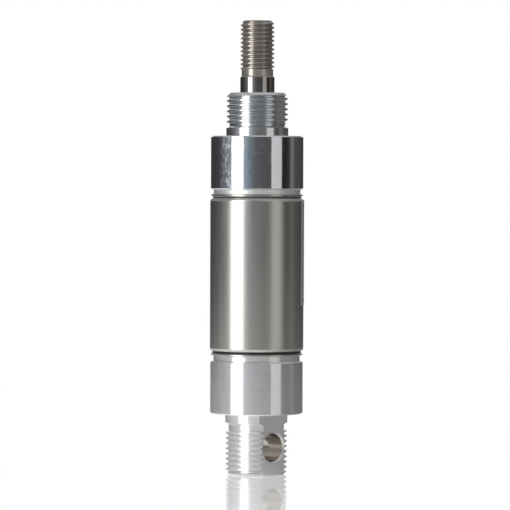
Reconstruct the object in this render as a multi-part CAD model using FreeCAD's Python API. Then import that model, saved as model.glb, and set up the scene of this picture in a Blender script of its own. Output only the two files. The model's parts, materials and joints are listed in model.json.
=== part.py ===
import FreeCAD, Part
import math
import os

from FreeCAD import Vector

# Round pneumatic cylinder, double acting, drawn with its rod pulled in.
# Millimetres. Z is the axis of the cylinder, from the rear end face at Z = 0 up to the rod tip.
# X is the axis of the rear pivot hole. Both ports face +Y.

# Driving dimensions
BORE_R = 12.5
TUBE_R = 13.6
STROKE = 20.0
ROD_R = 5.0

# Stations along Z
REAR_THREAD_Z = 12.8
REAR_RELIEF_Z = 14.5
REAR_SHOULDER_Z = 17.7
REAR_CAP_Z = 33.0
TUBE_LOW_Z = 34.6
TUBE_HIGH_Z = 81.3
FRONT_CAP_Z = 82.6
FRONT_SHOULDER_Z = 98.1
FRONT_COLLAR_Z = 101.0
FRONT_RELIEF_Z = 101.6
NOSE_END_Z = 110.6
ROD_SHOULDER_Z = 115.1
ROD_THREAD_Z = 117.4
ROD_TIP_Z = 131.5

# End caps
CAP_R = 13.5
CAP_EDGE = 0.35
COLLAR_R = 9.05
COLLAR_EDGE = 0.6
NECK_R = 12.6
SPIGOT_R = 12.46
REAR_SPIGOT_Z = 40.2
FRONT_SPIGOT_Z = 75.0
O_RING_GROOVE_R = 11.05
O_RING_GROOVE_WIDTH = 2.2
O_RING_GROOVE_START = 2.6
FIT_GAP = 0.01

# Rolled ends of the tube: the wall dips into a groove in the cap
CRIMP_LIP_R = 13.3
CRIMP_BOTTOM_R = 12.85
CRIMP_CENTRE = 0.95
CRIMP_END = 2.1

# Screw threads: nominal radius, crest radius and pitch
NOSE_THREAD = (9.0, 8.88, 1.5)
ROD_THREAD = (5.0, 4.92, 1.25)
RELIEF_R = 8.05
ROD_RELIEF_R = 4.6
GROOVE_DEPTH_PER_PITCH = 0.6134
ROOT_FLAT_PER_PITCH = 0.125
THREAD_SLOPE = math.tan(math.radians(30))
THREAD_END_EDGE = 0.9
ROD_TIP_EDGE = 0.9
CENTRE_DRILL_R = 1.2
CENTRE_DRILL_DEPTH = 1.6
# Where each groove starts round the axis, in degrees
REAR_THREAD_START = 230
NOSE_THREAD_START = 270
ROD_THREAD_START = 90

# Ports: G 1/8 pipe thread
PORT_MINOR_R = 4.283
PORT_MAJOR_R = 4.864
PORT_PITCH = 0.907
PORT_SLOPE = math.tan(math.radians(27.5))
PORT_MOUTH_R = 5.3
REAR_PORT_Z = 25.35
FRONT_PORT_Z = 90.35
REAR_PORT_FLOOR = 2.5
FRONT_PORT_FLOOR = 7.2

# Rear stub with its two flats and its pivot hole
FLATS = 14.0
PIVOT_R = 4.0
PIVOT_Z = 8.0
PIVOT_EDGE = 0.45

# Passages and seats in the caps
NUT_RECESS_R = 7.0
NUT_RECESS_Z = 34.0
REAR_PASSAGE_R = 3.0
REAR_PASSAGE_Z = 22.5
FRONT_PASSAGE_R = 1.0
FRONT_PASSAGE_Y = 9.6
BUSH_R = 6.0
BUSH_LOW_Z = 81.0
BUSH_HIGH_Z = 96.0
ROD_HOLE_R = 5.3
ROD_SEAL_R = 7.5
ROD_SEAL_LOW_Z = 76.8
ROD_SEAL_HIGH_Z = 80.3
FRONT_BUMPER_R = 8.25
FRONT_BUMPER_HOLE_R = 5.5
ROD_SEAL_WASHER_Z = 76.0
ROD_SEAL_WASHER_HOLE_R = 5.3
WIPER_R = 6.5
WIPER_LOW_Z = 107.4
WIPER_SINK = 0.2

# Running gaps
SEAL_GAP = 0.05
BUSH_GAP = 0.03
END_GAP = 0.1

# Piston
REAR_BUMPER_Z = 41.0
REAR_BUMPER_SEAT_Z = 39.2
REAR_BUMPER_R = 10.5
REAR_BUMPER_HOLE_R = 8.0
PISTON_R = 12.35
PISTON_LENGTH = 12.8
PISTON_HUB_R = 3.0
HALF_LENGTH = 4.9
MAGNET_HOLE_R = 7.0
MAGNET_R = 11.2
SEAL_GROOVE_R = 9.3
SEAL_GROOVE_WIDTH = 2.9
SEAL_GROOVE_START = 1.0
GUIDE_R = 11.25
GUIDE_SLOT = 1.2
PISTON_LOW_Z = REAR_BUMPER_Z + END_GAP
PISTON_HIGH_Z = PISTON_LOW_Z + PISTON_LENGTH
FRONT_BUMPER_Z = PISTON_HIGH_Z + STROKE + END_GAP
WASHER_THICKNESS = 1.0
WASHER_R = 5.5
NUT_HEIGHT = 3.2
NUT_FLATS = 10.0
NUT_EDGE = 0.5
ROD_END_Z = 36.0
PISTON_O_RING_DEPTH = 1.4
PISTON_O_RING_WIDTH = 1.7
PISTON_O_RING_Z = PISTON_HIGH_Z - 2.4

# Label
LABEL_THICKNESS = 0.1
LABEL_LOW_Z = 49.1
LABEL_HIGH_Z = 79.6
LABEL_START_DEG = 26.0
LABEL_SPAN_DEG = 128.0

AXIS = Vector(0, 0, 1)
ORIGIN = Vector(0, 0, 0)


def point(r, z):
    return Vector(r, 0, z)


def outline_face(outline):
    """Flat face in the XZ plane. An entry is a corner (r, z), or an arc (mid r, mid z, end r, end z)."""
    edges = []
    here = point(*outline[0][-2:])
    for entry in outline[1:] + outline[:1]:
        end = point(*entry[-2:])
        if len(entry) == 4:
            edges.append(Part.Arc(here, point(*entry[:2]), end).toShape())
        else:
            edges.append(Part.LineSegment(here, end).toShape())
        here = end
    return Part.Face(Part.Wire(edges))


def turned(outline, degrees=360.0):
    return outline_face(outline).revolve(ORIGIN, AXIS, degrees)


def cylinder(r, z_low, z_high):
    return Part.makeCylinder(r, z_high - z_low, point(0, z_low))


def ring(r_in, r_out, z_low, z_high, edge):
    """Flat ring with an equal chamfer on its four corners."""
    return turned([
        (r_in + edge, z_low),
        (r_out - edge, z_low),
        (r_out, z_low + edge),
        (r_out, z_high - edge),
        (r_out - edge, z_high),
        (r_in + edge, z_high),
        (r_in, z_high - edge),
        (r_in, z_low + edge),
    ])


def torus(r_centre, r_section, z):
    return Part.makeTorus(r_centre, r_section, point(0, z))


def cut_groove(blank, groove, groove_volume):
    """Takes a helical groove out of a round blank: splits the two against each other and keeps the bar.
    The split can fail where the groove meets the blank's own seam, so other angles are tried."""
    for seam_degrees in range(0, 360, 30):
        tool = groove.copy()
        tool.rotate(ORIGIN, AXIS, seam_degrees)
        pieces = blank.generalFuse([tool])[0].Solids
        for bar in pieces:
            missing = blank.Volume - bar.Volume
            if abs(missing - groove_volume) < 0.1 * groove_volume:
                bar.rotate(ORIGIN, AXIS, -seam_degrees)
                return bar
    raise ValueError("the thread groove was not cut")


def threaded_bar(thread, z_low, z_high, edge, start_degrees):
    """Round bar along Z with a V groove cut round it as a right-hand helix.
    It has a chamfer at its lower end."""
    nominal_r, crest_r, pitch = thread
    length = z_high - z_low
    root_r = nominal_r - GROOVE_DEPTH_PER_PITCH * pitch
    outer_r = crest_r + 0.1
    root_half = ROOT_FLAT_PER_PITCH * pitch / 2
    outer_half = root_half + (outer_r - root_r) * THREAD_SLOPE
    crest_half = root_half + (crest_r - root_r) * THREAD_SLOPE
    run_out = pitch / 2
    helix = Part.makeHelix(pitch, length + 2 * run_out, root_r)
    section = Part.makePolygon([
        point(root_r, -root_half),
        point(outer_r, -outer_half),
        point(outer_r, outer_half),
        point(root_r, root_half),
        point(root_r, -root_half),
    ])
    groove = Part.Wire(helix.Edges).makePipeShell([section], True, True)
    groove.translate(point(0, -run_out))
    groove_area = (crest_r - root_r) * (root_half + crest_half)
    groove_volume = groove_area * math.pi * (crest_r + root_r) * length / pitch
    bar = cut_groove(Part.makeCylinder(crest_r, length), groove, groove_volume)
    bar.rotate(ORIGIN, AXIS, start_degrees)
    bar = bar.cut(turned([
        (crest_r - edge, 0),
        (crest_r + edge, 2 * edge),
        (crest_r + edge, -edge),
        (crest_r - edge, -edge),
    ]))
    bar.translate(point(0, z_low))
    return bar


def upside_down(shape, z_low, z_high):
    """The same solid turned end for end between two heights."""
    middle = point(0, (z_low + z_high) / 2)
    shape.rotate(middle, Vector(1, 0, 0), 180)
    return shape


def port_cutter(depth):
    """Tapped hole that opens upwards at Z = 0: countersink, bore and one ring groove for each thread."""
    root_half = ROOT_FLAT_PER_PITCH * PORT_PITCH / 2
    mouth_half = root_half + (PORT_MAJOR_R - PORT_MINOR_R) * PORT_SLOPE
    flare = PORT_MOUTH_R - PORT_MINOR_R
    side = [
        (0, 1.0),
        (PORT_MOUTH_R + 1.0, 1.0),
        (PORT_MINOR_R, -flare),
    ]
    z = -flare - PORT_PITCH
    while z > PORT_PITCH - depth:
        side += [
            (PORT_MINOR_R, z + mouth_half),
            (PORT_MAJOR_R, z + root_half),
            (PORT_MAJOR_R, z - root_half),
            (PORT_MINOR_R, z - mouth_half),
        ]
        z -= PORT_PITCH
    side += [
        (PORT_MINOR_R, -depth),
        (0, -depth),
    ]
    return turned(side)


def placed_port(z, floor):
    cutter = port_cutter(CAP_R - floor)
    cutter.rotate(ORIGIN, Vector(1, 0, 0), -90)
    cutter.translate(Vector(0, CAP_R, z))
    return cutter


def crimp_inside(end_z, inward, gap):
    """Inner line of a rolled tube end, from its open end inwards. gap moves it towards the axis."""
    wall = TUBE_R - BORE_R
    lip_r = CRIMP_LIP_R - wall - gap
    bottom_r = CRIMP_BOTTOM_R - wall - gap
    bore_r = BORE_R - gap
    return [
        (lip_r, end_z),
        (bottom_r, end_z + inward * CRIMP_CENTRE, bore_r, end_z + inward * CRIMP_END),
    ]


def crimp_outside(end_z, inward):
    """Outer line of a rolled tube end, from its open end inwards: lip, groove and shoulder."""
    lip_round = 0.24
    groove_half = 0.45
    groove_end = CRIMP_CENTRE + groove_half
    shoulder_mid = (groove_end + CRIMP_END) / 2
    shoulder_mid_r = TUBE_R - 0.25 * (TUBE_R - CRIMP_LIP_R)

    def height(from_end):
        return end_z + inward * from_end

    return [
        (CRIMP_LIP_R - lip_round, end_z),
        (CRIMP_LIP_R - 0.3 * lip_round, height(0.3 * lip_round), CRIMP_LIP_R, height(lip_round)),
        (CRIMP_LIP_R, height(CRIMP_CENTRE - groove_half)),
        (CRIMP_BOTTOM_R, height(CRIMP_CENTRE), CRIMP_LIP_R, height(groove_end)),
        (shoulder_mid_r, height(shoulder_mid), TUBE_R, height(CRIMP_END)),
    ]


def reverse_outline(outline):
    """The same line drawn from its other end."""
    drawn_back = [outline[-1][-2:]]
    for index in range(len(outline) - 1, 0, -1):
        arc_mid = outline[index][:-2]
        drawn_back.append(arc_mid + outline[index - 1][-2:])
    return drawn_back


def barrel_tube():
    outside = crimp_outside(TUBE_LOW_Z, 1) + reverse_outline(crimp_outside(TUBE_HIGH_Z, -1))
    inside = crimp_inside(TUBE_HIGH_Z, -1, 0) + reverse_outline(crimp_inside(TUBE_LOW_Z, 1, 0))
    return turned(outside + inside)


def spigot(neck_z, tube_end_z, face_z, inward):
    """The part of a cap that fills the tube's end, from the gap under the cap to its inner face."""
    groove_a = tube_end_z + inward * O_RING_GROOVE_START
    groove_b = groove_a + inward * O_RING_GROOVE_WIDTH
    edge = 0.4
    side = [
        (NECK_R, neck_z),
        (NECK_R, tube_end_z),
    ]
    side += crimp_inside(tube_end_z, inward, BORE_R - SPIGOT_R)
    side += [
        (SPIGOT_R, groove_a),
        (O_RING_GROOVE_R, groove_a),
        (O_RING_GROOVE_R, groove_b),
        (SPIGOT_R, groove_b),
        (SPIGOT_R, face_z - inward * edge),
        (SPIGOT_R - edge, face_z),
    ]
    return side


def cap_o_ring(tube_end_z, inward):
    """Round-section ring between the groove in a cap and the inside of the tube."""
    centre_z = tube_end_z + inward * (O_RING_GROOVE_START + O_RING_GROOVE_WIDTH / 2)
    centre_r = (O_RING_GROOVE_R + BORE_R) / 2
    return torus(centre_r, (BORE_R - O_RING_GROOVE_R) / 2 - FIT_GAP, centre_z)


def rear_stub():
    """Threaded stub with two flats and a pivot hole, from the end face up to the cap's shoulder."""
    stub = threaded_bar(NOSE_THREAD, 0, REAR_THREAD_Z, THREAD_END_EDGE, REAR_THREAD_START)
    collar = turned([
        (0, REAR_THREAD_Z),
        (RELIEF_R, REAR_THREAD_Z),
        (RELIEF_R, REAR_RELIEF_Z),
        (COLLAR_R, REAR_RELIEF_Z + COLLAR_EDGE),
        (COLLAR_R, REAR_SHOULDER_Z),
        (0, REAR_SHOULDER_Z),
    ])
    stub = stub.fuse(collar)
    core = Part.makeBox(FLATS, 4 * COLLAR_R, REAR_SHOULDER_Z + 2, Vector(-FLATS / 2, -2 * COLLAR_R, -1))
    stub = stub.common(core)
    hole = Part.makeCylinder(PIVOT_R, 2 * FLATS, Vector(-FLATS, 0, PIVOT_Z), Vector(1, 0, 0))
    stub = stub.cut(hole)
    for side in (-1, 1):
        flare = Part.makeCone(PIVOT_R + 2 * PIVOT_EDGE, PIVOT_R, 2 * PIVOT_EDGE,
                              Vector(side * (FLATS / 2 + PIVOT_EDGE), 0, PIVOT_Z), Vector(-side, 0, 0))
        stub = stub.cut(flare)
    return stub


def rear_cap():
    body = turned([
        (0, REAR_SHOULDER_Z),
        (CAP_R - CAP_EDGE, REAR_SHOULDER_Z),
        (CAP_R, REAR_SHOULDER_Z + CAP_EDGE),
        (CAP_R, REAR_CAP_Z - CAP_EDGE),
        (CAP_R - CAP_EDGE, REAR_CAP_Z),
    ] + spigot(REAR_CAP_Z, TUBE_LOW_Z, REAR_SPIGOT_Z, 1) + [(0, REAR_SPIGOT_Z)])
    body = body.cut(cylinder(REAR_BUMPER_R + FIT_GAP, REAR_BUMPER_SEAT_Z, REAR_SPIGOT_Z + 1))
    body = body.cut(cylinder(NUT_RECESS_R, NUT_RECESS_Z, REAR_SPIGOT_Z + 1))
    body = body.cut(cylinder(REAR_PASSAGE_R, REAR_PASSAGE_Z, REAR_SPIGOT_Z))
    body = body.cut(placed_port(REAR_PORT_Z, REAR_PORT_FLOOR))
    return body.fuse(rear_stub())


def front_nose():
    """Threaded nose with the hole for the rod and the seat of the wiper."""
    nose = threaded_bar(NOSE_THREAD, FRONT_RELIEF_Z, NOSE_END_Z, THREAD_END_EDGE, NOSE_THREAD_START)
    nose = upside_down(nose, FRONT_RELIEF_Z, NOSE_END_Z)
    nose = nose.cut(cylinder(ROD_HOLE_R, FRONT_RELIEF_Z - 1, NOSE_END_Z + 1))
    return nose.cut(cylinder(WIPER_R + FIT_GAP, WIPER_LOW_Z, NOSE_END_Z + 1))


def front_cap():
    body = turned([
        (ROD_HOLE_R, FRONT_SPIGOT_Z),
    ] + reverse_outline(spigot(FRONT_CAP_Z, TUBE_HIGH_Z, FRONT_SPIGOT_Z, -1)) + [
        (CAP_R - CAP_EDGE, FRONT_CAP_Z),
        (CAP_R, FRONT_CAP_Z + CAP_EDGE),
        (CAP_R, FRONT_SHOULDER_Z - CAP_EDGE),
        (CAP_R - CAP_EDGE, FRONT_SHOULDER_Z),
        (COLLAR_R, FRONT_SHOULDER_Z),
        (COLLAR_R, FRONT_COLLAR_Z - COLLAR_EDGE),
        (RELIEF_R, FRONT_COLLAR_Z),
        (RELIEF_R, FRONT_RELIEF_Z),
        (ROD_HOLE_R, FRONT_RELIEF_Z),
    ])
    body = body.cut(cylinder(BUSH_R, ROD_SEAL_HIGH_Z, BUSH_HIGH_Z))
    body = body.cut(cylinder(ROD_SEAL_R + FIT_GAP, ROD_SEAL_LOW_Z - 1, ROD_SEAL_HIGH_Z))
    body = body.cut(cylinder(FRONT_BUMPER_R + FIT_GAP, FRONT_SPIGOT_Z - 1, ROD_SEAL_LOW_Z))
    body = body.cut(placed_port(FRONT_PORT_Z, FRONT_PORT_FLOOR))
    passage = cylinder(FRONT_PASSAGE_R, FRONT_SPIGOT_Z - 1, FRONT_PORT_Z)
    passage.translate(Vector(0, FRONT_PASSAGE_Y, 0))
    body = body.cut(passage)
    return body.fuse(front_nose())


def barrel_label():
    low = LABEL_LOW_Z
    high = LABEL_HIGH_Z
    outer_r = TUBE_R + LABEL_THICKNESS
    label = turned([(TUBE_R, low), (outer_r, low), (outer_r, high), (TUBE_R, high)], LABEL_SPAN_DEG)
    label.rotate(ORIGIN, AXIS, LABEL_START_DEG)
    return label


def lip_seal(r_in, r_out, z_heel, z_lips):
    """Lip ring. Its two lips open towards z_lips."""
    span = z_lips - z_heel
    width = r_out - r_in
    return turned([
        (r_in, z_heel),
        (r_out - 0.08 * width, z_heel),
        (r_out - 0.08 * width, z_heel + 0.40 * span),
        (r_out, z_heel + 0.85 * span),
        (r_out - 0.18 * width, z_lips),
        (r_out - 0.45 * width, z_heel + 0.50 * span),
        (r_in + 0.45 * width, z_heel + 0.50 * span),
        (r_in + 0.18 * width, z_lips),
        (r_in, z_heel + 0.85 * span),
    ])


def rod_seal():
    """Lips towards the piston. The outer side bears on its seat, the inner lip runs by the rod."""
    return lip_seal(ROD_R + SEAL_GAP, ROD_SEAL_R, ROD_SEAL_HIGH_Z, ROD_SEAL_LOW_Z + 0.1)


def rod_wiper():
    """Scraper ring in the nose. Its thin lip leans outwards along the rod."""
    r_in = ROD_R + SEAL_GAP
    top = NOSE_END_Z - WIPER_SINK
    return turned([
        (r_in + 0.5, WIPER_LOW_Z),
        (WIPER_R, WIPER_LOW_Z),
        (WIPER_R, top - 0.6),
        (r_in + 0.6, top - 0.6),
        (r_in + 0.2, top),
        (r_in, top - 0.3),
        (r_in, top - 0.8),
        (r_in + 0.5, top - 1.4),
    ])


def piston_seal(groove_low, facing):
    """Lip ring in a piston groove, with its lips towards the chamber it holds."""
    low = groove_low + 0.1
    high = groove_low + SEAL_GROOVE_WIDTH - 0.1
    heel, lips = (low, high) if facing > 0 else (high, low)
    return lip_seal(SEAL_GROOVE_R + SEAL_GAP, BORE_R - SEAL_GAP, heel, lips)


def piston_guide_ring():
    gap_z = 0.1
    low = PISTON_LOW_Z + HALF_LENGTH + gap_z
    high = PISTON_HIGH_Z - HALF_LENGTH - gap_z
    band = ring(GUIDE_R, BORE_R - SEAL_GAP, low, high, 0.15)
    slot = Part.makeBox(BORE_R, GUIDE_SLOT, high - low + 2, Vector(0, -GUIDE_SLOT / 2, low - 1))
    slot.rotate(ORIGIN, AXIS, 30)
    return band.cut(slot)


def piston_half(face_z, inward, hub_length, r_hole):
    """Disc with a seal groove near its outer face and a hub through the magnet ring."""
    groove_a = face_z + inward * SEAL_GROOVE_START
    groove_b = groove_a + inward * SEAL_GROOVE_WIDTH
    inner_z = face_z + inward * HALF_LENGTH
    edge = 0.4
    outline = [
        (r_hole, face_z),
        (PISTON_R - edge, face_z),
        (PISTON_R, face_z + inward * edge),
        (PISTON_R, groove_a),
        (SEAL_GROOVE_R, groove_a),
        (SEAL_GROOVE_R, groove_b),
        (PISTON_R, groove_b),
        (PISTON_R, inner_z),
    ]
    if hub_length > 0:
        outline.append((MAGNET_HOLE_R - FIT_GAP, inner_z))
        outline.append((MAGNET_HOLE_R - FIT_GAP, inner_z + inward * hub_length))
    outline.append((r_hole, inner_z + inward * hub_length))
    return turned(outline)


def piston_rear_half():
    return piston_half(PISTON_LOW_Z, 1, 0.0, PISTON_HUB_R + FIT_GAP)


def piston_front_half():
    """Carries the hub, and an inner groove for the ring that seals it to the rod."""
    half = piston_half(PISTON_HIGH_Z, -1, PISTON_LENGTH - 2 * HALF_LENGTH, PISTON_HUB_R + FIT_GAP)
    half_width = PISTON_O_RING_WIDTH / 2
    groove_r = PISTON_HUB_R + PISTON_O_RING_DEPTH
    return half.cut(cylinder(groove_r, PISTON_O_RING_Z - half_width, PISTON_O_RING_Z + half_width))


def piston_o_ring():
    section_r = PISTON_O_RING_DEPTH / 2
    return torus(PISTON_HUB_R + section_r, section_r - FIT_GAP, PISTON_O_RING_Z)


def piston_nut():
    top = PISTON_LOW_Z - WASHER_THICKNESS
    low = top - NUT_HEIGHT
    corner_r = NUT_FLATS / math.sqrt(3)
    corners = [Vector(corner_r * math.cos(k * math.pi / 3), corner_r * math.sin(k * math.pi / 3), low)
               for k in range(6)]
    nut = Part.Face(Part.makePolygon(corners + corners[:1])).extrude(Vector(0, 0, NUT_HEIGHT))
    nut = nut.common(ring(0.1, corner_r, low, top, NUT_EDGE))
    return nut.cut(cylinder(PISTON_HUB_R + FIT_GAP, low - 1, top + 1))


def piston_rod():
    step_edge = 0.4
    body = turned([
        (0, ROD_END_Z),
        (PISTON_HUB_R - step_edge, ROD_END_Z),
        (PISTON_HUB_R, ROD_END_Z + step_edge),
        (PISTON_HUB_R, PISTON_HIGH_Z),
        (ROD_R - step_edge, PISTON_HIGH_Z),
        (ROD_R, PISTON_HIGH_Z + step_edge),
        (ROD_R, ROD_SHOULDER_Z),
        (ROD_RELIEF_R, ROD_SHOULDER_Z + step_edge),
        (ROD_RELIEF_R, ROD_THREAD_Z),
        (0, ROD_THREAD_Z),
    ])
    tip = threaded_bar(ROD_THREAD, ROD_THREAD_Z, ROD_TIP_Z, ROD_TIP_EDGE, ROD_THREAD_START)
    tip = upside_down(tip, ROD_THREAD_Z, ROD_TIP_Z)
    drill_point = point(0, ROD_TIP_Z - CENTRE_DRILL_DEPTH)
    tip = tip.cut(Part.makeCone(0, CENTRE_DRILL_R, CENTRE_DRILL_DEPTH, drill_point))
    return body.fuse(tip)


def rear_bumper():
    return ring(REAR_BUMPER_HOLE_R, REAR_BUMPER_R, REAR_BUMPER_SEAT_Z, REAR_BUMPER_Z, 0.3)


def front_bumper():
    return ring(FRONT_BUMPER_HOLE_R, FRONT_BUMPER_R, FRONT_BUMPER_Z, ROD_SEAL_WASHER_Z, 0.3)


def rod_seal_washer():
    return ring(ROD_SEAL_WASHER_HOLE_R, FRONT_BUMPER_R, ROD_SEAL_WASHER_Z, ROD_SEAL_LOW_Z, 0.1)


def rod_bush():
    return ring(ROD_R + BUSH_GAP, BUSH_R - FIT_GAP, BUSH_LOW_Z, BUSH_HIGH_Z, 0.3)


def piston_magnet():
    return ring(MAGNET_HOLE_R, MAGNET_R, PISTON_LOW_Z + HALF_LENGTH, PISTON_HIGH_Z - HALF_LENGTH, 0.2)


def piston_washer():
    return ring(PISTON_HUB_R + 0.1, WASHER_R, PISTON_LOW_Z - WASHER_THICKNESS, PISTON_LOW_Z, 0.15)


PARTS = {
    "barrel_tube": barrel_tube(),
    "rear_cap": rear_cap(),
    "front_cap": front_cap(),
    "barrel_label": barrel_label(),
    "rear_cap_o_ring": cap_o_ring(TUBE_LOW_Z, 1),
    "front_cap_o_ring": cap_o_ring(TUBE_HIGH_Z, -1),
    "rear_bumper": rear_bumper(),
    "front_bumper": front_bumper(),
    "rod_seal_washer": rod_seal_washer(),
    "rod_seal": rod_seal(),
    "rod_bush": rod_bush(),
    "rod_wiper": rod_wiper(),
    "rear_piston_seal": piston_seal(PISTON_LOW_Z + SEAL_GROOVE_START, -1),
    "front_piston_seal": piston_seal(PISTON_HIGH_Z - SEAL_GROOVE_START - SEAL_GROOVE_WIDTH, 1),
    "piston_guide_ring": piston_guide_ring(),
    "piston_rear_half": piston_rear_half(),
    "piston_front_half": piston_front_half(),
    "piston_magnet": piston_magnet(),
    "piston_o_ring": piston_o_ring(),
    "piston_washer": piston_washer(),
    "piston_nut": piston_nut(),
    "piston_rod": piston_rod(),
}

os.makedirs("parts", exist_ok=True)
for name, shape in PARTS.items():
    shape.exportStep("parts/" + name + ".step")
    print(name, shape.isValid(), len(shape.Solids), round(shape.Volume, 2))
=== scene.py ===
import json
import math

import bpy
from mathutils import Matrix, Vector


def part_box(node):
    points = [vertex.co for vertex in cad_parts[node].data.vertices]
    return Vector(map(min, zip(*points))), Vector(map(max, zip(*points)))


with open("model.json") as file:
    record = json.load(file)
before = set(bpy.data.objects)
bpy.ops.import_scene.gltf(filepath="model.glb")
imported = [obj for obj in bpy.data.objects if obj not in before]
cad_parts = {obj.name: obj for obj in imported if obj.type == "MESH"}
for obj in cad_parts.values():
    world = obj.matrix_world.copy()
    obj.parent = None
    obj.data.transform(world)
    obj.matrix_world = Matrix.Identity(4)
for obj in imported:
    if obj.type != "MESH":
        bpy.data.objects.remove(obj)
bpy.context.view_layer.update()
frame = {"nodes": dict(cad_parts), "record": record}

MM = 0.001
MICRON = 0.000001
NODES = frame["nodes"]

# The view: the camera stands off the object's +X, -Y side, level with the front cap.
VIEW_AZIMUTH = math.radians(45.0)
CAMERA_DISTANCE = 1.0383
EYE_HEIGHT = 0.0868
AIM_HEIGHT = 0.0636
AIM_RIGHT = -0.00054
CAMERA_ROLL = math.radians(0.19)
CAMERA_FIELD = math.radians(8.15)

TO_CAMERA = Vector((math.sin(VIEW_AZIMUTH), -math.cos(VIEW_AZIMUTH), 0.0))
TO_RIGHT = Vector((math.cos(VIEW_AZIMUTH), math.sin(VIEW_AZIMUTH), 0.0))


# ---------------------------------------------------------------- node helpers

class Tree:
    """Short calls for building a node tree."""

    def __init__(self, tree):
        self.tree = tree
        tree.nodes.clear()

    def node(self, kind, settings=None, **inputs):
        made = self.tree.nodes.new(kind)
        for key, value in (settings or {}).items():
            setattr(made, key, value)
        for key, value in inputs.items():
            self.put(made.inputs[key.replace("_", " ")], value)
        return made

    def put(self, socket, value):
        if isinstance(value, bpy.types.NodeSocket):
            self.tree.links.new(value, socket)
        else:
            socket.default_value = value

    def math(self, operation, *values, clamp=False):
        made = self.node("ShaderNodeMath", {"operation": operation, "use_clamp": clamp})
        for index, value in enumerate(values):
            self.put(made.inputs[index], value)
        return made.outputs[0]

    def dot(self, vector, direction):
        made = self.node("ShaderNodeVectorMath", {"operation": "DOT_PRODUCT"})
        self.put(made.inputs[0], vector)
        self.put(made.inputs[1], direction)
        return made.outputs["Value"]

    def step(self, value, low, high, from_low=0.0, to_high=1.0):
        """Smooth rise from from_low to to_high as value goes from low to high."""
        made = self.node("ShaderNodeMapRange", {"interpolation_type": "SMOOTHSTEP"})
        for index, number in enumerate((value, low, high, from_low, to_high)):
            self.put(made.inputs[index], number)
        return made.outputs[0]

    def mix(self, factor, a, b, blend="MIX"):
        made = self.node("ShaderNodeMix", {"data_type": "RGBA", "blend_type": blend})
        self.put(made.inputs["Factor"], factor)
        self.put(made.inputs[6], a)
        self.put(made.inputs[7], b)
        return made.outputs[2]

    def mix_float(self, factor, a, b):
        made = self.node("ShaderNodeMix", {"data_type": "FLOAT"})
        self.put(made.inputs[0], factor)
        self.put(made.inputs[2], a)
        self.put(made.inputs[3], b)
        return made.outputs[0]

    def ramp(self, factor, stops):
        """Colour ramp from (position, (r, g, b)) stops."""
        made = self.node("ShaderNodeValToRGB")
        elements = made.color_ramp.elements
        while len(elements) < len(stops):
            elements.new(0.5)
        for element, (position, colour) in zip(elements, stops):
            element.position = position
            element.color = (*colour, 1.0)
        self.put(made.inputs[0], factor)
        return made.outputs[0]

    def noise(self, vector, detail):
        made = self.node("ShaderNodeTexNoise", Vector=vector, Scale=1.0, Detail=detail, Roughness=0.5)
        return made.outputs[0]


# ---------------------------------------------------------------- studio

# Light seen round the horizon: (degrees from the camera's direction, left negative; brightness;
# warmth, below 0 cool and above 0 warm).
ROOM = [
    (-180, 0.04, -0.3), (-135, 0.045, -0.3), (-112, 0.05, -0.5), (-96, 0.10, -0.6), (-66.5, 0.30, -0.5),
    (-63.0, 3.6, 0.0), (-36.2, 3.6, 0.0),
    (-34.5, 0.42, -0.7), (-21, 0.27, -1.3), (-8, 0.13, -0.8), (10, 0.09, -0.3), (35, 0.085, -0.2),
    (36.5, 0.62, 0.0), (62.7, 0.58, 0.1),
    (64.2, 0.018, 0.3), (78, 0.02, 0.3), (87, 0.05, 0.3), (94, 0.16, 0.4), (100, 0.15, 0.4),
    (108, 0.07, 0.4), (140, 0.055, 0.3), (180, 0.04, 0.0),
]
ROOM_MAX = 4.0
BACKDROP_HALF = math.radians(14)
BACKDROP_EDGE = 0.05
HORIZON_HALF = math.radians(2.9)
ABOVE_ROOM = 0.30
OVERHEAD = 0.52
OVERHEAD_FROM = math.radians(30)
OVERHEAD_FULL = math.radians(60)
BELOW_ROOM = 0.04
BELOW_FROM = math.radians(-3)
BELOW_FULL = math.radians(-9)

# The floor: its glow towards the object is dim on one side and bright on the side of the left lamp.
FLOOR_RADIUS = 0.75
FLOOR_IOR = 1.5
FLOOR_ROUGHNESS = 0.05
GLOSS_FULL_R = 0.06
GLOSS_END_R = 0.30
FLOOR_DIM = 0.28
FLOOR_BRIGHT = 1.12
LAMP_DIRECTION = VIEW_AZIMUTH - math.pi / 2 + math.radians(-55)


def room_colour(brightness, warmth):
    level = brightness / ROOM_MAX
    return (level * (1 + 0.05 * warmth), level, level * (1 - 0.07 * warmth))


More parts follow.
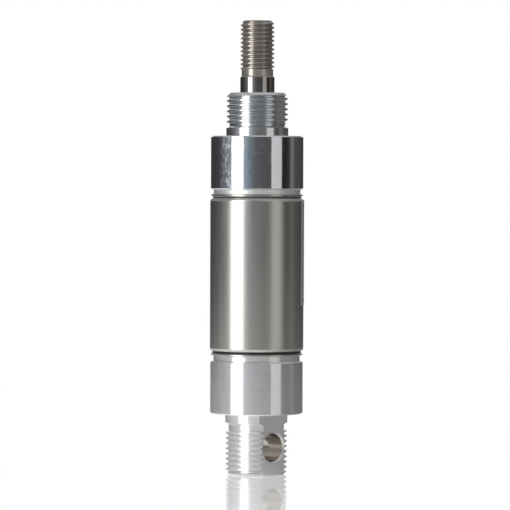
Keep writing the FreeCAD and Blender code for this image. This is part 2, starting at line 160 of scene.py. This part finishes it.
def build_world():
    world = bpy.data.worlds.new("studio")
    bpy.context.scene.world = world
    world.use_nodes = True
    t = Tree(world.node_tree)
    direction = t.node("ShaderNodeTexCoord").outputs["Generated"]
    towards = t.dot(direction, TO_CAMERA)
    across = t.dot(direction, TO_RIGHT)
    height = t.dot(direction, (0.0, 0.0, 1.0))
    angle = t.math("ARCTAN2", across, towards)
    place = t.math("MULTIPLY_ADD", angle, 0.5 / math.pi, 0.5)
    stops = [(0.5 + degrees / 360.0, room_colour(level, warmth)) for degrees, level, warmth in ROOM]
    band = t.ramp(place, stops)
    room = t.mix(1.0, band, (ROOM_MAX, ROOM_MAX, ROOM_MAX, 1.0), "MULTIPLY")
    # The white wall behind the object.
    turn = t.math("ABSOLUTE", angle)
    backdrop_from = math.pi - BACKDROP_HALF
    behind = t.step(turn, backdrop_from - BACKDROP_EDGE, backdrop_from)
    room = t.mix(behind, room, (1.0, 1.0, 1.0, 1.0))
    # Above the lamps the room is lit to at least an even level, and straight overhead it is brighter.
    above = t.step(height, math.sin(HORIZON_HALF), math.sin(2 * HORIZON_HALF))
    lifted = t.mix(1.0, room, (ABOVE_ROOM, ABOVE_ROOM, ABOVE_ROOM, 1.0), "LIGHTEN")
    room = t.mix(above, room, lifted)
    overhead = t.step(height, math.sin(OVERHEAD_FROM), math.sin(OVERHEAD_FULL))
    room = t.mix(overhead, room, (OVERHEAD, OVERHEAD, OVERHEAD * 1.02, 1.0))
    # The room below the table.
    below = t.step(height, math.sin(BELOW_FROM), math.sin(BELOW_FULL))
    room = t.mix(below, room, (BELOW_ROOM, BELOW_ROOM, BELOW_ROOM, 1.0))
    # The camera sees plain white where it sees past the object and the table.
    is_camera = t.node("ShaderNodeLightPath").outputs["Is Camera Ray"]
    seen = t.mix(is_camera, room, (1.0, 1.0, 1.0, 1.0))
    background = t.node("ShaderNodeBackground", Color=seen, Strength=1.0)
    t.node("ShaderNodeOutputWorld", Surface=background.outputs[0])


def build_floor():
    """A round white gloss table top that glows, and mirrors the object that stands on it."""
    bpy.ops.mesh.primitive_circle_add(vertices=128, radius=FLOOR_RADIUS, fill_type="NGON")
    floor = bpy.context.object
    floor.name = "floor"
    material = bpy.data.materials.new("white_gloss_floor")
    material.use_nodes = True
    t = Tree(material.node_tree)
    fresnel = t.node("ShaderNodeFresnel", IOR=FLOOR_IOR).outputs[0]
    is_camera = t.node("ShaderNodeLightPath").outputs["Is Camera Ray"]
    place = t.node("ShaderNodeTexCoord").outputs["Object"]
    # The object is lit more by the table's side that is towards the left lamp.
    outwards = t.node("ShaderNodeVectorMath", {"operation": "NORMALIZE"})
    t.put(outwards.inputs[0], place)
    lamp = (math.cos(LAMP_DIRECTION), math.sin(LAMP_DIRECTION), 0.0)
    facing = t.math("MULTIPLY_ADD", t.dot(outwards.outputs[0], lamp), 0.5, 0.5)
    bounce = t.mix_float(facing, FLOOR_DIM, FLOOR_BRIGHT)
    strength = t.mix_float(is_camera, bounce, 1.0)
    glow = t.node("ShaderNodeEmission", Color=(1.0, 1.0, 1.0, 1.0), Strength=strength)
    gloss = t.node("ShaderNodeBsdfGlossy", Color=(1.0, 1.0, 1.0, 1.0), Roughness=FLOOR_ROUGHNESS)
    shader = t.node("ShaderNodeMixShader")
    # Seen by the camera, the gloss fades out round the object, so the table has no visible rim.
    distance = t.node("ShaderNodeVectorMath", {"operation": "LENGTH"})
    t.put(distance.inputs[0], place)
    fade = t.step(distance.outputs["Value"], GLOSS_FULL_R, GLOSS_END_R, 1.0, 0.0)
    kept = t.mix_float(is_camera, 1.0, fade)
    t.put(shader.inputs[0], t.math("MULTIPLY", fresnel, kept))
    t.put(shader.inputs[1], glow.outputs[0])
    t.put(shader.inputs[2], gloss.outputs[0])
    t.node("ShaderNodeOutputMaterial", Surface=shader.outputs[0])
    floor.data.materials.append(material)


# ---------------------------------------------------------------- materials

def mount(name):
    return next(m for m in frame["record"]["mounts"] if m["name"] == name)


REAR_SHOULDER_Z = mount("rear_shoulder")["pos_m"][2]
NOSE_SHOULDER_Z = mount("nose_shoulder")["pos_m"][2]
COLLAR_TOP_Z = NOSE_SHOULDER_Z + mount("nose_pilot")["dims"]["length_mm"] * MM
PIVOT_Z = mount("pivot_bore")["pos_m"][2]
PIVOT_R = mount("pivot_bore")["dims"]["r_mm"] * MM
FLAT_X = mount("pivot_flat_right")["pos_m"][0]
ROD_NECK_LOW_Z = mount("rod_end_thread")["pos_m"][2] - 9.8 * MM
CAP_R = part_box("front_cap")[1][0]
TUBE_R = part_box("barrel_tube")[1][0]
TUBE_LOW_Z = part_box("barrel_tube")[0][2]
TUBE_HIGH_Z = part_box("barrel_tube")[1][2]

# Half the width of the blend between two finishes, and how far past a corner a finish reaches
EDGE = 0.04 * MM
OVERLAP = 0.2 * MM

# The rolled grooves at the tube's ends: distance from the end, and half the width of the painted shade
# in each
CRIMP_CENTRE = 0.95 * MM
LOW_CRIMP_HALF = 0.19 * MM
HIGH_CRIMP_HALF = 0.12 * MM


class Surface:
    """One surface, metal or not: a base finish, then zones that replace it where their mask is 1."""

    def __init__(self, name, colour, roughness):
        self.material = bpy.data.materials.new(name)
        self.material.use_nodes = True
        self.t = Tree(self.material.node_tree)
        self.place = self.t.node("ShaderNodeTexCoord").outputs["Object"]
        split = self.t.node("ShaderNodeSeparateXYZ", Vector=self.place)
        self.x, self.y, self.z = split.outputs
        self.colour = (*colour, 1.0)
        self.roughness = roughness
        self.height = None

    def above(self, value, level):
        return self.t.step(value, level - EDGE, level + EDGE)

    def below(self, value, level):
        return self.t.step(value, level - EDGE, level + EDGE, 1.0, 0.0)

    def both(self, a, b):
        return self.t.math("MULTIPLY", a, b)

    def away(self, value, level):
        """How far value is from level, either way."""
        return self.t.math("ABSOLUTE", self.t.math("SUBTRACT", value, level))

    def band(self, value, centre, full, end):
        """1 as far as full from the centre, then a smooth fall to 0 at end."""
        return self.t.step(self.away(value, centre), full, end, 1.0, 0.0)

    def length(self, a, b):
        squares = self.t.math("ADD", self.t.math("MULTIPLY", a, a), self.t.math("MULTIPLY", b, b))
        return self.t.math("SQRT", squares)

    def radius(self):
        return self.length(self.x, self.y)

    def zone(self, mask, colour=None, roughness=None):
        if colour is not None:
            self.colour = self.t.mix(mask, self.colour, (*colour, 1.0))
        if roughness is not None:
            self.roughness = self.t.mix_float(mask, self.roughness, roughness)

    def stretched(self, around, along, detail=2.0, offset=0.0):
        """Noise with its own scale round the part and along its axis, in features per metre."""
        mapping = self.t.node("ShaderNodeMapping", Vector=self.place,
                              Location=(offset, offset, offset), Scale=(around, around, along))
        return self.t.noise(mapping.outputs[0], detail)

    def vary_roughness(self, noise, low, high, amount):
        change = self.t.step(noise, low, high, -amount, amount)
        self.roughness = self.t.math("ADD", self.roughness, change, clamp=True)

    def shade(self, noise, low, high, dark, light=1.0):
        """Multiplies the colour by dark to light as the noise goes from low to high."""
        level = self.t.step(noise, low, high, dark, light)
        grey = self.t.node("ShaderNodeCombineXYZ")
        for socket in grey.inputs:
            self.t.put(socket, level)
        self.colour = self.t.mix(1.0, self.colour, grey.outputs[0], "MULTIPLY")

    def bump(self, noise, depth):
        scaled = self.t.math("MULTIPLY", noise, depth)
        self.height = scaled if self.height is None else self.t.math("ADD", self.height, scaled)

    def finish(self, *names, anisotropy=0.0, turn=0.25, metallic=1.0):
        """A turn of 0.25 spreads reflections along the part's axis, and 0 spreads them round it."""
        shader = self.t.node("ShaderNodeBsdfPrincipled", Base_Color=self.colour, Metallic=metallic,
                             Roughness=self.roughness)
        if anisotropy:
            tangent = self.t.node("ShaderNodeTangent", {"direction_type": "RADIAL", "axis": "Z"})
            shader.inputs["Anisotropic"].default_value = anisotropy
            shader.inputs["Anisotropic Rotation"].default_value = turn
            self.t.put(shader.inputs["Tangent"], tangent.outputs[0])
        if self.height is not None:
            bump = self.t.node("ShaderNodeBump", Strength=1.0, Distance=1.0, Height=self.height)
            self.t.put(shader.inputs["Normal"], bump.outputs[0])
        self.t.node("ShaderNodeOutputMaterial", Surface=shader.outputs[0])
        for name in names:
            mesh = NODES[name].data
            mesh.materials.clear()
            mesh.materials.append(self.material)


# Marks on the front cap: where each is round the cap, and how far to each side it is full and ends
SMEAR_AT = math.radians(-88)
SMEAR_REACH = (0.05, 0.22)
TINT_AT = math.radians(-55)
TINT_REACH = (0.0, 0.17)
TINT_SPLIT_Z = NOSE_SHOULDER_Z - 4.2 * MM
TINT_SPLIT_HALF = 1.2 * MM
SCRATCH_AT = math.radians(-44)
SCRATCH_REACH = (0.06, 0.12)
SCRATCH_Z = NOSE_SHOULDER_Z - 5.0 * MM
SCRATCH_HALF = 0.05 * MM
SHOULDER_STEP = 0.5 * MM


def front_cap_finish():
    """Bright skimmed aluminium with wiping smears, and a duller turned collar, thread and neck."""
    m = Surface("front_cap_aluminium", (0.85, 0.865, 0.89), 0.10)
    smears = m.stretched(900.0, 260.0, 4.0)
    m.vary_roughness(smears, 0.45, 0.75, 0.05)
    m.shade(m.stretched(700.0, 60.0, 3.0, 0.3), 0.35, 0.6, 0.93)
    around = m.t.math("ARCTAN2", m.y, m.x)
    smear_here = m.band(around, SMEAR_AT, *SMEAR_REACH)
    blotches = m.t.step(m.stretched(1300.0, 620.0, 5.0, 0.9), 0.47, 0.60)
    m.zone(smear_here, (0.78, 0.80, 0.88), 0.13)
    m.zone(m.both(smear_here, blotches), (0.86, 0.88, 0.96), 0.28)
    # A teal and blue tint in a mottled band round the cap: teal above the split, blue below it.
    tint_mottle = m.t.step(m.stretched(700.0, 500.0, 4.0, 0.5), 0.30, 0.62, 0.35)
    tint_here = m.both(m.band(around, TINT_AT, *TINT_REACH), tint_mottle)
    tint_upper = m.t.step(m.z, TINT_SPLIT_Z - TINT_SPLIT_HALF, TINT_SPLIT_Z + TINT_SPLIT_HALF)
    film = m.t.mix(tint_upper, (0.66, 0.84, 1.0, 1.0), (0.74, 0.96, 0.90, 1.0))
    m.colour = m.t.mix(tint_here, m.colour, m.t.mix(1.0, m.colour, film, "MULTIPLY"))
    scratch_height = m.below(m.away(m.z, SCRATCH_Z), SCRATCH_HALF)
    scratch = m.both(scratch_height, m.band(around, SCRATCH_AT, *SCRATCH_REACH))
    m.zone(scratch, (0.9, 0.9, 0.9), 0.30)
    collar = m.above(m.z, NOSE_SHOULDER_Z)
    m.zone(collar, (0.86, 0.87, 0.88), 0.18)
    thread = m.above(m.z, COLLAR_TOP_Z)
    m.zone(thread, (0.72, 0.735, 0.75), 0.21)
    narrow = m.below(m.radius(), CAP_R - SHOULDER_STEP)
    neck = m.both(m.below(m.z, NOSE_SHOULDER_Z - OVERLAP), narrow)
    m.zone(neck, (0.88, 0.88, 0.88), 0.42)
    m.bump(m.stretched(40.0, 5200.0, 2.0), 0.6 * MICRON)
    m.finish("front_cap")


SHADED_END_BAND_Z = 0.9 * MM
FLAT_OVERLAP = 0.1 * MM
BORE_OVERLAP = 0.05 * MM


def rear_cap_finish():
    """Turned aluminium whose fine grooves spread its reflections up and down."""
    m = Surface("rear_cap_aluminium", (0.86, 0.87, 0.885), 0.18)
    m.shade(m.stretched(500.0, 90.0, 3.0), 0.3, 0.6, 0.94)
    m.vary_roughness(m.stretched(60.0, 4200.0, 2.0), 0.3, 0.7, 0.03)
    narrow = m.below(m.radius(), CAP_R - SHOULDER_STEP)
    neck = m.both(m.above(m.z, REAR_SHOULDER_Z + OVERLAP), narrow)
    m.zone(neck, (0.84, 0.84, 0.83), 0.27)
    stub = m.below(m.z, REAR_SHOULDER_Z)
    m.zone(stub, (0.90, 0.905, 0.905), 0.34)
    # Painted shade: the band at the stub's bottom end, next to the floor, is coloured darker.
    m.zone(m.below(m.z, SHADED_END_BAND_Z), (0.62, 0.62, 0.62))
    flat = m.both(stub, m.above(m.away(m.x, 0.0), FLAT_X - FLAT_OVERLAP))
    m.zone(flat, (0.94, 0.94, 0.93), 0.30)
    from_pivot = m.length(m.away(m.z, PIVOT_Z), m.y)
    bore = m.both(m.below(from_pivot, PIVOT_R + BORE_OVERLAP), stub)
    m.zone(bore, (0.54, 0.505, 0.46), 0.10)
    m.bump(m.stretched(40.0, 5200.0, 2.0), 0.6 * MICRON)
    m.finish("rear_cap", anisotropy=0.8)


def tube_finish():
    """Drawn stainless tube: fine lengthwise lines, and painted shade in the rolled grooves at its ends.
    """
    m = Surface("stainless_tube", (0.605, 0.595, 0.565), 0.24)
    m.vary_roughness(m.stretched(900.0, 40.0, 2.0), 0.3, 0.7, 0.012)
    m.shade(m.stretched(300.0, 18.0, 3.0, 0.7), 0.3, 0.65, 0.94)
    low_groove = (TUBE_LOW_Z + CRIMP_CENTRE, LOW_CRIMP_HALF)
    high_groove = (TUBE_HIGH_Z - CRIMP_CENTRE, HIGH_CRIMP_HALF)
    for groove_z, half_width in (low_groove, high_groove):
        # Painted shade: the crevice of each rolled groove is coloured near black, where shade falls in
        # it.
        painted_groove_shade = m.band(m.z, groove_z, half_width, 2 * half_width)
        m.zone(painted_groove_shade, (0.04, 0.038, 0.036), 0.5)
    m.bump(m.stretched(2500.0, 60.0, 2.0), 0.3 * MICRON)
    m.finish("barrel_tube", anisotropy=0.35, turn=0.0)


def rod_finish():
    """Hard chrome, with a rolled thread and neck that spread reflections up and down."""
    m = Surface("hard_chrome_rod", (0.49, 0.465, 0.44), 0.09)
    m.zone(m.above(m.z, ROD_NECK_LOW_Z), (0.50, 0.465, 0.425), 0.31)
    m.shade(m.stretched(400.0, 400.0, 3.0), 0.35, 0.6, 0.85)
    m.bump(m.stretched(60.0, 4200.0, 2.0), 0.4 * MICRON)
    m.finish("piston_rod", anisotropy=0.9)


# The print on the label: a border, and a barrel with its piston, rod and two ports
LABEL_INSET = 1.4 * MM
LABEL_LINE = 0.4 * MM
SIGN_BARREL = (6.0 * MM, 15.0 * MM)
SIGN_PISTON_HEIGHT = 1.4 * MM
SIGN_PISTON_UP = -2.2 * MM
SIGN_ROD = (0.9 * MM, 13.2 * MM)
SIGN_ROD_UP = 5.0 * MM
SIGN_PORT_LENGTH = 3.0 * MM
SIGN_PORT_INSET = 1.5 * MM


def label_finish():
    """Silver film with a thin printed border and the standard sign for a double-acting cylinder."""
    m = Surface("label_film", (0.62, 0.62, 0.61), 0.34)
    low, high = (Vector(corner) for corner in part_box("barrel_label"))
    half_width = math.asin(high.x / TUBE_R) * TUBE_R
    half_height = (high.z - low.z) / 2
    across = m.t.math("MULTIPLY", m.t.math("ARCTAN2", m.x, m.y), TUBE_R)
    up = m.t.math("SUBTRACT", m.z, (low.z + high.z) / 2)

    def block(width, height, at_across=0.0, at_up=0.0):
        in_width = m.below(m.away(across, at_across), width / 2)
        in_height = m.below(m.away(up, at_up), height / 2)
        return m.both(in_width, in_height)

    def frame_line(width, height):
        inside = block(width - 2 * LABEL_LINE, height - 2 * LABEL_LINE)
        return m.both(block(width, height), m.t.math("SUBTRACT", 1.0, inside))

    barrel_width, barrel_height = SIGN_BARREL
    port_across = (barrel_width + SIGN_PORT_LENGTH) / 2
    port_up = barrel_height / 2 - SIGN_PORT_INSET
    ink = frame_line(2 * (half_width - LABEL_INSET), 2 * (half_height - LABEL_INSET))
    signs = [
        frame_line(barrel_width, barrel_height),
        block(barrel_width, SIGN_PISTON_HEIGHT, 0.0, SIGN_PISTON_UP),
        block(*SIGN_ROD, 0.0, SIGN_ROD_UP),
        block(SIGN_PORT_LENGTH, LABEL_LINE, port_across, port_up),
        block(SIGN_PORT_LENGTH, LABEL_LINE, port_across, -port_up),
    ]
    for sign in signs:
        ink = m.t.math("MAXIMUM", ink, sign)
    m.vary_roughness(m.stretched(900.0, 900.0, 3.0), 0.3, 0.7, 0.04)
    m.shade(m.stretched(300.0, 300.0, 2.0, 0.4), 0.3, 0.7, 0.95)
    m.zone(ink, (0.035, 0.04, 0.05), 0.45)
    m.finish("barrel_label", metallic=0.55)


def inner_part(name, nodes, colour, roughness, metallic, grain, dark):
    """A part inside: grain is its mottling in features per metre, dark its darkest shade."""
    m = Surface(name, colour, roughness)
    m.shade(m.stretched(grain, grain, 3.0), 0.35, 0.65, dark)
    m.vary_roughness(m.stretched(grain * 1.7, grain * 1.7, 2.0, 0.2), 0.3, 0.7, 0.05)
    m.bump(m.stretched(grain * 3.0, grain * 3.0, 2.0, 0.6), 2 * MICRON)
    m.finish(*nodes, metallic=metallic)


def build_materials():
    front_cap_finish()
    rear_cap_finish()
    tube_finish()
    rod_finish()
    label_finish()
    inner_part("black_rubber", ("rear_cap_o_ring", "front_cap_o_ring", "piston_o_ring"),
               colour=(0.02, 0.02, 0.022), roughness=0.5, metallic=0.0, grain=900.0, dark=0.6)
    inner_part("seal_polyurethane", ("rod_seal", "rod_wiper", "rear_piston_seal", "front_piston_seal"),
               colour=(0.055, 0.045, 0.035), roughness=0.42, metallic=0.0, grain=700.0, dark=0.7)
    inner_part("bumper_plastic", ("rear_bumper", "front_bumper"),
               colour=(0.10, 0.22, 0.11), roughness=0.5, metallic=0.0, grain=500.0, dark=0.8)
    inner_part("guide_plastic", ("piston_guide_ring",),
               colour=(0.62, 0.58, 0.47), roughness=0.48, metallic=0.0, grain=400.0, dark=0.85)
    inner_part("sintered_bronze", ("rod_bush",),
               colour=(0.50, 0.36, 0.20), roughness=0.45, metallic=0.9, grain=3200.0, dark=0.55)
    inner_part("piston_aluminium", ("piston_front_half", "piston_rear_half"),
               colour=(0.80, 0.81, 0.82), roughness=0.28, metallic=1.0, grain=600.0, dark=0.9)
    inner_part("ferrite_magnet", ("piston_magnet",),
               colour=(0.06, 0.06, 0.065), roughness=0.6, metallic=0.0, grain=1500.0, dark=0.6)
    inner_part("zinc_steel", ("rod_seal_washer", "piston_washer", "piston_nut"),
               colour=(0.66, 0.66, 0.62), roughness=0.3, metallic=1.0, grain=800.0, dark=0.85)


# ---------------------------------------------------------------- camera

def build_camera():
    data = bpy.data.cameras.new("camera")
    camera = bpy.data.objects.new("camera", data)
    bpy.context.scene.collection.objects.link(camera)
    data.sensor_width = 36.0
    data.lens = data.sensor_width / 2 / math.tan(CAMERA_FIELD / 2)
    data.clip_start = 0.05
    data.clip_end = 20.0
    location = TO_CAMERA * CAMERA_DISTANCE + TO_RIGHT * AIM_RIGHT + Vector((0, 0, EYE_HEIGHT))
    aim = TO_RIGHT * AIM_RIGHT + Vector((0, 0, AIM_HEIGHT))
    turn = (aim - location).to_track_quat("-Z", "Y").to_matrix().to_4x4()
    camera.matrix_world = Matrix.Translation(location) @ turn @ Matrix.Rotation(CAMERA_ROLL, 4, "Z")
    bpy.context.scene.camera = camera


def main():
    build_world()
    build_floor()
    build_materials()
    build_camera()
    scene = bpy.context.scene
    scene.view_settings.view_transform = "Standard"


main()
